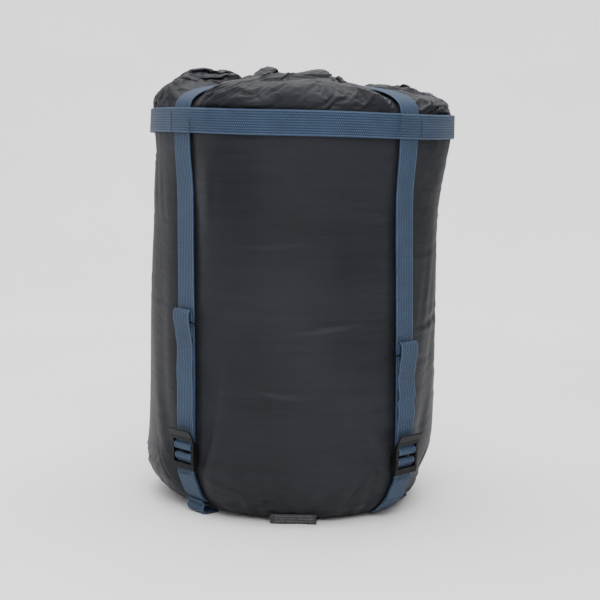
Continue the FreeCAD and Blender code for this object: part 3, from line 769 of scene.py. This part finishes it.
def make_collar():
    """Gathered fabric from the band over the shoulder to the mouth, with the drawcord's channel."""
    share = np.linspace(0, 1, SLOPE_ROWS)
    crest, valley = through(COLLAR_CREST, SLOPE_ROWS), through(COLLAR_VALLEY, SLOPE_ROWS)
    grid, lift = collar_grid(turns(COLLAR_AROUND), crest, valley, share)
    held = np.maximum(1 - smooth(lift / 0.25), 1 - smooth(np.arange(SLOPE_ROWS)[:, None] / 3))
    held = np.maximum(held, smooth((share[:, None] - 0.92) / 0.08))
    grid = settled(grid, held, frames=20, grow=0.014, pressure=2.2, cap=7.0, bending=4.0)
    grid = finer(finer(grid, 0), 1, closed=True)
    theta = turns(2 * COLLAR_AROUND)
    channel = through(CHANNEL, CHANNEL_ROWS)
    crest = np.vstack([through(HEM_CREST, HEM_ROWS), channel])
    valley = np.vstack([through(HEM_VALLEY, HEM_ROWS), channel])
    share = np.concatenate([np.full(HEM_ROWS, 1.0), np.linspace(0.9, 0, CHANNEL_ROWS)])
    edge, _ = collar_grid(theta, crest, valley, share)
    inner = grid - grid_normals(grid) * COLLAR_T * smooth(np.arange(len(grid)) / 6)[:, None, None]
    both = np.concatenate([grid, edge, inner[::-1]])
    rows, around = both.shape[:2]
    uvs = uv_grid(theta * BODY_R, run_length(both[:, 0])[:, None])
    faces = grid_faces(rows, around, rows_close=True, columns_close=True)
    collar = mesh("gathered_collar", both.reshape(-1, 3), faces, SHELL, uvs=uvs, body="shoulder",
                  slot="shell_fabric", replaces=["collar", "drawcord_channel"])


BASE_T = 0.8
TAPE_W, TAPE_T = 9.0, 0.8


def make_base():
    """Base panel, sagging to the floor, and the tape over its seam inside."""
    around, rows = 240, 40
    theta = turns(around)
    radius = BODY_R - CORNER_IN - 0.3
    r = np.linspace(0.4, radius, rows)[:, None]
    low = 0.35 * (1 + np.sin(4 * theta + r * 0.07)) * smooth((radius - r) / 20)
    under = np.maximum(low + 0.15 * np.sin(22 * theta) * bell(radius - r, 9), 0.03)
    points = np.concatenate([polar(r, theta, under), polar(r, theta, under + BASE_T)[::-1]]).reshape(-1, 3)
    faces = grid_faces(2 * rows, around, rows_close=True, columns_close=True)
    base = mesh("base_panel_fabric", points, faces, SHELL, uvs=points[:, :2], body="sack",
                slot="shell_fabric", replaces=["base_panel"])
    angle = turns(180)
    webbing("base_seam_tape", polar(radius - 5.0, angle, 1.9), polar(1.0, angle, 0.0), TAPE, closed=True,
            thickness=TAPE_T, width=TAPE_W, ribs=0.05, body="sack", slot="binding_tape",
            replaces=["base_seam_binding"])


# --- the harness ---
def make_band():
    """Ribbed webbing round the shoulder, riding up a little over each strap."""
    theta = turns(420)
    beside_strap = bell(off_strap(theta, BAND_R, BAND_HIGH) - 24, 9)
    r = BAND_R + 0.35 * np.sin(3 * theta + 1.0) + 0.3 * np.sin(7 * theta) - 0.5 * beside_strap
    z = BAND_MID + 0.7 * np.sin(2 * theta + 0.4) + 0.35 * np.sin(5 * theta + 2.0)
    tip = 0.05 * np.sin(4 * theta + 1.0) + 0.03 * np.sin(9 * theta)
    webbing("shoulder_band_webbing", polar(r, theta, z), polar(-tip, theta, 1.0), WEBBING, closed=True,
            thickness=BAND_T, ribs=0.2, body="shoulder", slot="webbing", replaces=["shoulder_band"])


CROSS_RISE = 28.8  # height of the top straps' crossing above the band's upper edge
TOP_LIFT = WEB_T + 0.25  # how much higher the upper strap lies where they cross


def make_top_straps():
    """The two straps that cross over the mouth."""
    rise = [(5.6, 7.6), (-2.2, 14.0), (-15.4, 19.2), (-33.0, 22.7), (-55.0, 25.6), (-78.0, 28.2)]
    for name, azimuth, lift in (("lower", 45.0, 0.0), ("upper", 315.0, TOP_LIFT)):
        over = [(-102.0, 28.5 + lift * 0.3), (-128.0, CROSS_RISE + lift * 0.9), (-BODY_R, CROSS_RISE + lift)]
        near = [(UNDER_BAND, BAND_MID + 0.2), (UNDER_BAND, BAND_HIGH - 0.5)]
        near += [(out, BAND_HIGH + height) for out, height in rise + over]
        far = [(-2 * BODY_R - out, z) for out, z in near[-2::-1]]
        strap_line("top_strap_" + name, azimuth, near + far, body="shoulder")


def make_leg(name, azimuth, top):
    """The loaded part of a strap, from above the buckle up under the band."""
    levels = np.linspace(JOIN_Z, BAND_LOW - 5, 18)
    out = LEG_CLEAR + LEG_RISE * smooth((levels - top) / 40)
    out = out + (UNDER_BAND - LEG_CLEAR - LEG_RISE) * smooth((levels - BAND_LOW + 65) / 65)
    rise = list(zip(out, levels)) + [(UNDER_BAND, BAND_LOW + 2), (UNDER_BAND, BAND_MID - 0.3)]

    def level_with_keeper(share):  # flat to the keeper ring, which slides up it
        height = JOIN_Z + share * (BAND_MID - JOIN_Z)
        ahead = np.clip(lean(top - KEEPER_BELOW_TOP) - lean(height), 0, None)
        return -np.radians(ahead) * (1 - smooth((height - BAND_LOW + 50) / 40))

    leg = strap_line("leg_" + name, azimuth, rise, twist=level_with_keeper)
    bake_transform(leg)


def make_turn(name, azimuth):
    """The strap's turn round its buckle's locking bar."""
    out, z = LOCK_BAR
    path = [(LEG_CLEAR, JOIN_Z), (LEG_OUT, JOIN_Z - 10), (out - TURN_R, z + 3.0), (out - TURN_R, z)]
    path += arc(LOCK_BAR, TURN_R, (220, 270, 320, 360))
    path += [(out + 2.5, z + 2.4), (out + 0.9, z + 4.1), (out - 0.55, z + 5.6), (TAIL_OUT, z + 7.6)]
    path += [(TAIL_OUT, JOIN_Z - 8), (TAIL_OUT, JOIN_Z)]
    turn = strap_line("turn_" + name, azimuth, path, step=0.9, replaces=["strap_turn_" + name])
    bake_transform(turn)


def make_tail(name, azimuth, foot, aside, waves):
    """The loose part of a strap, from above the buckle up to its pull loop."""
    (big, shift), (small, other) = waves
    levels = np.linspace(JOIN_Z, foot, 9)
    s = (levels - JOIN_Z) / (foot - JOIN_Z)
    wave = big * np.sin(2 * math.pi * s + shift) ** 2 + small * np.sin(5 * math.pi * s + other) ** 2
    path = list(zip(TAIL_OUT + np.sin(math.pi * s) ** 0.6 * wave, levels))
    tail = strap_line("tail_" + name, azimuth, path, across=lambda share: aside * smooth(share))
    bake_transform(tail)


def make_pull_loop(name, azimuth, top, aside):
    """The tail's folded and sewn end."""
    stitch, inner = top - LOOP_H, TAIL_OUT + 0.2
    path = [(TAIL_OUT, stitch - LOOP_FOOT), (inner, stitch - 9.0), (6.1, stitch - 5.5), (6.8, stitch - 2.0)]
    path += [(7.2, stitch + 3), (8.9, stitch + 11), (10.0, stitch + 20), (9.0, top - 2.2), (7.4, top - 0.7)]
    path += [(5.9, top - 2.6), (inner, stitch + 17), (inner, stitch + 8), (inner, stitch - 0.5)]
    strap_line("pull_loop_" + name, azimuth, path, step=1.0, across=aside, body="pull_" + name)
    rows = rows_across(azimuth, [(6.85 + WEB_T / 2, stitch - 1.5), (7.1 + WEB_T / 2, stitch + 1.0)], aside)
    mesh(f"pull_loop_{name}_stitching", *rows, THREAD, body="pull_" + name, slot="thread")


def make_straps():
    """Leg, turn, tail and pull loop of each strap."""
    for name, (azimuth, aside, waves) in STRAPS.items():
        top = node_box(f"pull_loop_{name}")[1][2]
        make_leg(name, azimuth, top)
        make_turn(name, azimuth)
        make_tail(name, azimuth, top - LOOP_H - LOOP_FOOT, aside, waves)
        make_pull_loop(name, azimuth, top, aside)


def corner_point(degrees, out):
    """(out, height) at a distance out from the rounded lower edge, degrees up from straight below."""
    across, down = math.sin(math.radians(degrees)), math.cos(math.radians(degrees))
    length = math.hypot(across / CORNER_IN, down / CORNER_UP)
    r = CORNER_IN * (across - 1) + out * across / CORNER_IN / length
    return (r, CORNER_UP * (1 - down) - out * down / CORNER_UP / length)


def make_anchors():
    """The doubled webbing tab under each buckle and the loop that holds the buckle."""
    flex = BUCKLE_Z - 2.0  # the tab bends here when the buckle is lifted
    outer, inner = ANCHOR_OUT + WEB_T / 2 + 0.05, ANCHOR_OUT - WEB_T / 2 - 0.05
    single = 1.0  # middle of the tab, out from the fabric, where it isn't doubled
    out, z = TAB_BAR
    r = TAB_BAR_R + WEB_T / 2
    loop = [(inner, flex - 0.4), (inner, z - 6), (inner + 0.25, z - 3), (out - r, z)]
    loop += arc(TAB_BAR, r, (135, 90, 45, 0))
    loop += [(out + r * 0.8, z - 2.2), (out - 0.1, z - 4.6), (outer + 0.1, z - 7.4)]
    loop += [(outer, z - 10.5), (outer, flex - 0.4)]
    face = outer + WEB_T / 2
    for name, (azimuth, _, _) in STRAPS.items():
        lowest = 40.0 if name == "front_left" else 22.0  # the grab loop covers the front left tab's end
        for kind, layer, first in (("outer", outer, 44.0), ("inner", inner, lowest)):
            points = []
            for degrees in np.linspace(first, 62, 6):
                doubled = smooth((degrees - 38) / 15)
                middle = single + (inner - single) * doubled
                points.append(corner_point(degrees, middle + (layer - inner) * max(doubled, 0.9)))
            points += [(layer, flex - 3), (layer, flex)]
            replaced = ["anchor_base_" + name] if kind == "outer" else []
            strap_line(f"anchor_{kind}_{name}", azimuth, points, step=1.5, replaces=replaced, body="sack")
        held = strap_line("anchor_loop_" + name, azimuth, loop, step=0.8)
        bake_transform(held)
        rows = rows_across(azimuth, [(face, flex - 2.2), (face, flex - 3.6), corner_point(50, face)])
        mesh(f"anchor_{name}_stitching", *rows, THREAD, body="sack", slot="thread",
             replaces=["anchor_bartacks"])


def make_grab_loop():
    """The fold of webbing sewn on over the front left tab."""
    fold = [corner_point(46, ANCHOR_OUT + 2 * WEB_T + 0.2), (-11.2, 10.6), (-9.8, 6.8), (-10.8, 3.6)]
    fold += [(-14.4, 1.7), (-19.6, 1.0), (-25.4, 0.9), (-31.0, 0.9)]
    strap_line("grab_loop", STRAPS["front_left"][0], fold, step=0.9, body="sack")


def make_band_stitching():
    """Upright rows beside each strap on the band, and the box of stitches where the top straps cross."""
    face = BAND_R + BAND_T / 2 + 0.15
    heights = np.linspace(BAND_LOW + 1.5, BAND_HIGH - 1.5, 10)
    rows = []
    for middle in LINES + math.radians(HARNESS_TURN):
        for off_middle in (-WEB_W / 2 - 1.6, -WEB_W / 2 - 2.9, WEB_W / 2 + 1.6, WEB_W / 2 + 2.9):
            theta = middle + off_middle / face
            line = polar(face, theta, heights)
            rows.append(stitches(line, polar(1.0, theta, 0.0), radius=0.27, pitch=2.3))
    mesh("shoulder_band_stitching", *joined(rows), THREAD, body="shoulder", slot="thread",
         replaces=["shoulder_bartacks"])
    z = BAND_HIGH + CROSS_RISE + TOP_LIFT + WEB_T / 2 + 0.1
    corners = polar(9.5 * math.sqrt(2), math.radians(270 + HARNESS_TURN) + turns(4), z)
    lines = [(0, 1), (1, 2), (2, 3), (3, 0), (0, 2), (1, 3)]
    box = [stitches(np.linspace(corners[a], corners[b], 9), (0, 0, 1.0), pitch=2.3) for a, b in lines]
    mesh("top_cross_stitching", *joined(box), THREAD, body="shoulder", slot="thread",
         replaces=["top_cross_bartack"])


def make_label():
    """Care label that hangs in front of the lower edge, with its two stitched ends."""
    low, high = node_box("care_label")
    x, s = np.meshgrid(np.linspace(low[0], high[0], 40), np.linspace(0, 1, 18))
    drop = high[2] - low[2]
    y = low[1] + 0.4 + 0.35 * np.sin(x * 0.16 + 1.0) * s
    z = high[2] - drop * s + 0.25 * np.sin(x * 0.21) * s
    thick, in_seam = 0.5, 2.6
    back, front = (np.stack([x, y - side, z], axis=-1) for side in (0.0, thick))
    both = np.concatenate([back, front[::-1]])
    count, wide = both.shape[:2]
    faces = grid_faces(count, wide, rows_close=True)
    for k in range(len(s) - 1):  # the two short ends
        a, b, c, d = (row * wide for row in (k, k + 1, count - 2 - k, count - 1 - k))
        faces += [(a, b, c, d), (d + wide - 1, c + wide - 1, b + wide - 1, a + wide - 1)]
    label = mesh("care_label_cloth", both.reshape(-1, 3), faces, LABEL, uvs=both[..., [0, 2]].reshape(-1, 2),
                 body="sack", slot="label", replaces=["care_label"])
    rows = []
    for x in (low[0] + 1.2, high[0] - 1.2):
        line = [(x, low[1] - 0.35, z) for z in np.linspace(low[2] + 2, high[2] - 1, 8)]
        rows.append(stitches(line, (0, -1.0, 0), radius=0.3, pitch=2.0))
    mesh("care_label_stitching", *joined(rows), DARK_THREAD, body="sack", slot="thread")


def make_knot():
    """Overhand knot that joins the drawcord's two ends, and the two short stubs past it."""
    low, high = node_box("cord_end_knot")
    middle, size = (low + high) / 2, (high[0] - low[0]) / 2
    t = np.linspace(0, TAU, 91)
    x, y, z = np.sin(t) + 2 * np.sin(2 * t), np.cos(t) - 2 * np.cos(2 * t), -1.2 * np.sin(3 * t)
    parts = [tube(np.stack([x, y, z], axis=1) * (size - 0.9) / 3.1 + middle, 0.98, 12)]
    for side in (-1, 1):
        steps = np.array([(side * 0.8, 1.0, 0.4), (side * 1.6, 4.2, 0.2), (side * 2.6, 7.0, -1.6)])
        parts.append(tube(through(middle + steps, 12), 0.95, 12))
    mesh("drawcord_knot", *joined(parts), CORD_BRAID, body="shoulder", slot="drawcord",
         replaces=["cord_end_knot"])


def make_spring():
    """The cord lock's spring, which shortens as the plunger is pressed."""
    low, high = node_box("cord_lock_spring")
    wire, coils = 0.3, 4
    middle, coil_r = (low + high) / 2, (high[2] - low[2]) / 2 - wire
    t = np.linspace(0, 1, 28 * coils)
    x = low[0] + wire + (high[0] - low[0] - 2 * wire) * t
    y, z = coil_r * np.cos(TAU * coils * t), coil_r * np.sin(TAU * coils * t)
    path = np.stack([x, middle[1] + y, middle[2] + z], axis=1)
    spring = mesh("cord_lock_spring_wire", *tube(path, wire, 10), SPRING_STEEL, slot="spring_steel",
                  replaces=["cord_lock_spring"])
    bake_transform(spring)


def dress_cad_nodes():
    """Materials on the nodes that stay as they are."""
    kinds = {"buckle_": BUCKLE_PLASTIC, "keeper_": RUBBER, "cord_lock_barrel": BUCKLE_PLASTIC,
             "cord_lock_plunger": BUCKLE_PLASTIC, "drawcord": CORD_BRAID}
    for name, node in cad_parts.items():
        for start, material in kinds.items():
            if name.startswith(start) and name != "drawcord_channel":
                for slot in node.material_slots:
                    slot.material = material


# --- stage, light and camera ---
def make_stage():
    """A pale floor that curves up into a low wall all round."""
    flat, bend, top = 1.3, 1.5, 1.6
    turn = np.linspace(0, math.pi / 2, 20)
    r = np.concatenate([[0.01], flat + bend * np.sin(turn), [flat + bend]])[:, None]
    z = np.concatenate([[0.0], bend - bend * np.cos(turn), [bend + top]])[:, None]
    m = Nodes("pale_floor")
    colour = m.ramp(m.noise(3.0, 2.0), [(0.3, (0.86, 0.86, 0.86)), (0.7, (0.89, 0.89, 0.89))])
    material = m.finish(Base_Color=colour, Roughness=0.9, Specular_IOR_Level=0.1)
    points = polar(r, turns(96), z).reshape(-1, 3) / MM
    mesh("floor", points, grid_faces(len(r), 96, columns_close=True), material)


SACK_MIDDLE = (0, 0, 0.22)
LAMPS = [  # name, place and size in metres, power
    ("left_strip", (-1.2, 0.55, 0.5), (0.6, 1.2), 1.5),
    ("front_top", (0.1, -1.5, 1.6), (1.4, 0.9), 25),
    ("overhead", (0, 0.2, 2.0), (1.6, 1.6), 24),
]
CARDS = [  # name, first and last direction in degrees
    ("left_card", 195, 248), ("right_card", 292, 345),
    ("left_back_card", 125, 145), ("right_back_card", 8, 52),
]
CARD_R = 1250.0


def area_light(name, place, size, power):
    """A soft rectangular lamp that faces the sack and doesn't show in the picture."""
    data = bpy.data.lights.new(name, "AREA")
    data.shape, data.size, data.size_y = "RECTANGLE", *size
    data.energy = power
    light = add_object(name, data)
    light.location = place
    light.rotation_euler = (Vector(SACK_MIDDLE) - Vector(place)).to_track_quat("-Z", "Y").to_euler()
    light.visible_camera = False


def make_lights():
    """Even white surroundings, three lamps, and black cards that darken the sack's sides."""
    world = bpy.data.worlds.new("studio")
    world.use_nodes = True
    colour, strength = world.node_tree.nodes["Background"].inputs[:2]
    colour.default_value, strength.default_value = (1, 1, 1, 1), 2.3
    bpy.context.scene.world = world
    for lamp in LAMPS:
        area_light(*lamp)
    m = Nodes("black_card")
    colour = m.ramp(m.noise(3.0), [(0.3, (0.015, 0.015, 0.015)), (0.7, (0.02, 0.02, 0.02))])
    black = m.finish(Base_Color=colour)
    for name, first, last in CARDS:
        points = polar(CARD_R, np.radians(np.linspace(first, last, 24)), np.array([[20.0], [1300.0]]))
        card = mesh(name, points.reshape(-1, 3), grid_faces(2, 24), black)
        card.visible_camera = False


CAMERA_PLACE = (0.0, -1.43, 0.383)
CAMERA_LENS = 80.2
CAMERA_PITCH = math.radians(3.68)
CAMERA_ROLL = math.radians(1.3)
CAMERA_SHIFT = -0.13


def make_camera():
    data = bpy.data.cameras.new("camera")
    data.lens, data.sensor_width, data.shift_y = CAMERA_LENS, 36.0, CAMERA_SHIFT
    camera = add_object("camera", data)
    camera.location = CAMERA_PLACE
    camera.rotation_mode = "QUATERNION"
    level = Quaternion((1, 0, 0), math.pi / 2 - CAMERA_PITCH)
    camera.rotation_quaternion = level @ Quaternion((0, 0, 1), CAMERA_ROLL)
    bpy.context.scene.camera = camera


def main():
    make_camera()
    make_side_wall()
    make_base()
    make_collar()
    make_band()
    make_top_straps()
    make_straps()
    make_anchors()
    make_grab_loop()
    make_band_stitching()
    make_label()
    make_knot()
    make_spring()
    dress_cad_nodes()
    make_stage()
    make_lights()


main()
